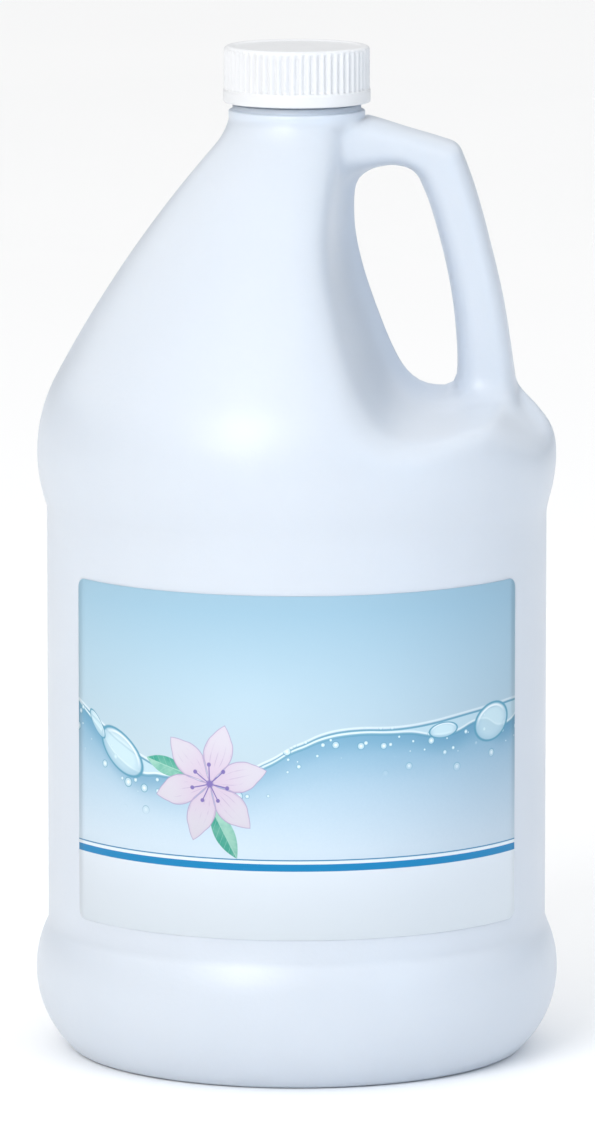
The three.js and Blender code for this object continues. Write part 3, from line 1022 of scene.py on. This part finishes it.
def paint_froth(finish, s, z, colour, lower):
    """Small round bubbles of many sizes, close under the wave."""
    for size, shift in FROTH:
        place = finish.node("CombineXYZ", {0: s + shift, 1: z, 2: 0.0}).outputs[0]
        links = {"Vector": place, "Scale": 1 / size, "Randomness": 1.0}
        cells = finish.node("TexVoronoi", links, voronoi_dimensions="2D")
        pick = finish.node("SeparateColor", {0: cells.outputs["Color"]})
        radius = Signal(finish, pick.outputs[0]) * 0.12 + 0.06
        chosen = Signal(finish, pick.outputs[1]).rise(0.42, 0.44, soft=False)
        out = Signal(finish, cells.outputs["Distance"]) / radius
        band = lower.rise(-1.7 * size, -0.9 * size) * lower.rise(2.4, 1.2) * chosen
        colour = finish.mix(out.rise(1.05, 0.9) * band * 0.75, colour, GLASS)
        colour = finish.mix((out - 1).line(0.03, 0.16) * band * 0.8, colour, WATER_LINE)
        colour = finish.mix(out.rise(0.5, 0.3) * band * 0.8, colour, GLINT)
    return colour


def paint_leaf(finish, s, z, colour, leaf):
    """One pointed leaf, dark on one side of its middle vein and light on the other."""
    centre, reach, degrees = leaf
    along, across = turned_about(s, z, centre, degrees)
    spread = along / reach
    edge = (spread * spread).math("MULTIPLY_ADD", -0.36 * reach, 0.36 * reach)
    inside = across.size() - edge
    green = finish.mix(across.rise(-0.1, 0.1), LEAF_DARK, LEAF_LIGHT)
    green = finish.mix(finish.noise(160, 3).rise(0.4, 0.7), green, LEAF_MIDDLE)
    veins = (along * 0.9 - across.size() * 0.8).math("PINGPONG", 1.0).rise(0.16, 0.0)
    green = finish.mix(veins * 0.5 + across.line(0.05, 0.14), green, LEAF_LIGHT)
    return finish.mix(inside.rise(0.08, -0.08), colour, green)


def folded(s, z, count, turn):
    """A bloom's plane folded into one petal: the places out along the petal and across it."""
    across, up = s - BLOOM[0], z - BLOOM[1]
    reach = (across * across + up * up).math("SQRT")
    angle = up.math("ARCTAN2", across) + math.radians(turn)
    fold = angle.math("WRAP", math.pi / count, -math.pi / count)
    return reach * fold.math("COSINE"), reach * fold.math("SINE"), reach


def paint_bloom(finish, s, z, colour):
    """A plain bloom with pale pink petals and violet stamens, its edges a little uneven."""
    s = s + (finish.noise(45, 2) - 0.5) * 1.6
    z = z + (finish.noise(52, 2) - 0.5) * 1.6
    along, across, reach = folded(s, z, PETALS, PETAL_TURN)
    width = curve_of(finish, along, PETAL, 0, 6)
    inside = (across.size() - width).math("MAXIMUM", along - PETAL[-1][0])
    petal = finish.mix(along.rise(2, 14), PETAL_PINK, PETAL_WHITE)
    petal = finish.mix(inside.rise(-1.6, 0.2) * 0.35, petal, PETAL_PINK)
    veins = (across / (width + 0.6) * 5).math("PINGPONG", 1.0).rise(0.2, 0.0)
    broken = veins * finish.noise(300, 2).rise(0.42, 0.62) * along.rise(15, 6)
    petal = finish.mix(broken * 0.6, petal, PETAL_VEIN)
    colour = finish.mix(inside.rise(0.1, -0.1), colour, petal)
    colour = finish.mix(inside.line(0.07, 0.16) * 0.75, colour, PETAL_VEIN)
    out, aside, _ = folded(s, z, STAMENS, STAMEN_TURN)
    stalk = aside.size().rise(0.26, 0.1) * out.rise(STAMEN_REACH, STAMEN_REACH - 0.3)
    from_tip = out - STAMEN_REACH
    tip = (from_tip * from_tip + aside * aside).math("SQRT").rise(0.75, 0.5)
    stamen = stalk.math("MAXIMUM", tip).math("MAXIMUM", reach.rise(1.5, 0.7))
    return finish.mix(stamen * 0.85, colour, STAMEN)


def paint_stripes(finish, z, colour):
    """The plain pale field at the label's foot, under a thick stripe and a thin one."""
    foot_top = STRIPE_HEIGHT - STRIPE_HALF
    foot = finish.mix(z.rise(LABEL_BOTTOM, foot_top), FOOT_PALE, FOOT_TINT)
    colour = finish.mix(z.rise(THIN_HEIGHT - 0.1, THIN_HEIGHT - 0.2), colour, FOOT_PALE)
    colour = finish.mix((z - THIN_HEIGHT).line(THIN_HALF, 0.06), colour, STRIPE_THIN)
    colour = finish.mix((z - STRIPE_HEIGHT).line(STRIPE_HALF, 0.05), colour, STRIPE)
    return finish.mix(z.rise(foot_top + 0.05, foot_top - 0.05), colour, foot)


def printed_label():
    """Satin film printed with water, a wave with bubbles, a plain bloom and two stripes."""
    finish = Finish("printed film", {"Roughness": 0.5, "Specular IOR Level": 0.3})
    flat = finish.node("SeparateXYZ", {0: finish.coordinates(source="UV")})
    s = (Signal(finish, flat.outputs["X"]) - 0.5) * (2 * LABEL_HALF_ANGLE * LABEL_RADIUS)
    z = Signal(finish, flat.outputs["Y"]) * (LABEL_TOP - LABEL_BOTTOM) + LABEL_BOTTOM
    grain = finish.noise(1500, 2) * 0.10 - 0.05
    sky = finish.mix(z.rise(142, 100, soft=False) + grain, SKY_TOP, SKY_LOW)
    depth = z.rise(72, 106, soft=False) + grain
    colour, lower = paint_water(finish, s, z, sky, depth)
    # Darker towards the label's right end: partly the print's deeper blue, partly painted shade where the
    # wrap turns from the light.
    colour = finish.mix(s.rise(0, 75) * 0.15, colour, DEEP_PRINT_AND_PAINTED_SHADE)
    colour = paint_froth(finish, s, z, colour, lower)
    for bubble in BUBBLES:
        colour = paint_bubble(finish, s, z, colour, bubble)
    for leaf in LEAVES:
        colour = paint_leaf(finish, s, z, colour, leaf)
    colour = paint_stripes(finish, z, paint_bloom(finish, s, z, colour))
    return finish.finish(colour, normal=finish.bump(finish.noise(500, 2), 0.012))


# --- Camera, light and floor -------------------------------------------------------------


def stand(holder, place, aim):
    """Puts a camera or a light in its place, facing its aim."""
    holder.location = place
    holder.rotation_euler = (Vector(aim) - Vector(place)).to_track_quat("-Z", "Y").to_euler()


def make_camera():
    """A long lens in front of the label, a little above it."""
    camera = bpy.data.cameras.new("camera")
    camera.sensor_width = 36
    camera.lens = CAMERA_LENS
    camera.clip_start, camera.clip_end = 0.1, 50
    holder = in_scene("camera", camera)
    tilt = math.radians(CAMERA_ELEVATION)
    away = CAMERA_DISTANCE * Vector((0, -math.cos(tilt), math.sin(tilt)))
    stand(holder, Vector(CAMERA_TARGET) + away, CAMERA_TARGET)
    bpy.context.scene.camera = holder


def make_light(name, place, aim, size, power, colour):
    """A soft rectangular light that faces its aim."""
    light = bpy.data.lights.new(name, "AREA")
    light.shape = "RECTANGLE"
    light.size, light.size_y = size
    light.energy = power
    light.color = colour
    stand(in_scene(name, light), place, aim)


def make_floor():
    """A plain pale floor, wide enough to be the background too."""
    bm = bmesh.new()
    bmesh.ops.create_grid(bm, x_segments=1, y_segments=1, size=30)
    mesh = bpy.data.meshes.new("floor")
    bm.to_mesh(mesh)
    bm.free()
    paper = Finish("white paper", {"Roughness": 0.8})
    mesh.materials.append(paper.finish(paper.mix(paper.noise(3), PAPER_SHADE, PAPER_LIGHT)))
    in_scene("floor", mesh)


def make_room():
    """A pale room, and colours shown as they are."""
    world = bpy.data.worlds.new("pale room")
    world.use_nodes = True
    background = world.node_tree.nodes["Background"]
    background.inputs["Color"].default_value = ROOM_COLOUR
    background.inputs["Strength"].default_value = ROOM_LIGHT
    bpy.context.scene.world = world
    bpy.context.scene.view_settings.view_transform = "Standard"


make_camera()
make_room()
make_floor()
for light in LIGHTS:
    make_light(*light)

bottle_skin = shape_bottle_skin(BottleField())
make_bottle(bottle_skin, blown_plastic())
make_soap(bottle_skin, pearly_soap())
bottle_skin.free()
make_cap(moulded_white())
make_liner(pressed_foam())
make_label(printed_label())
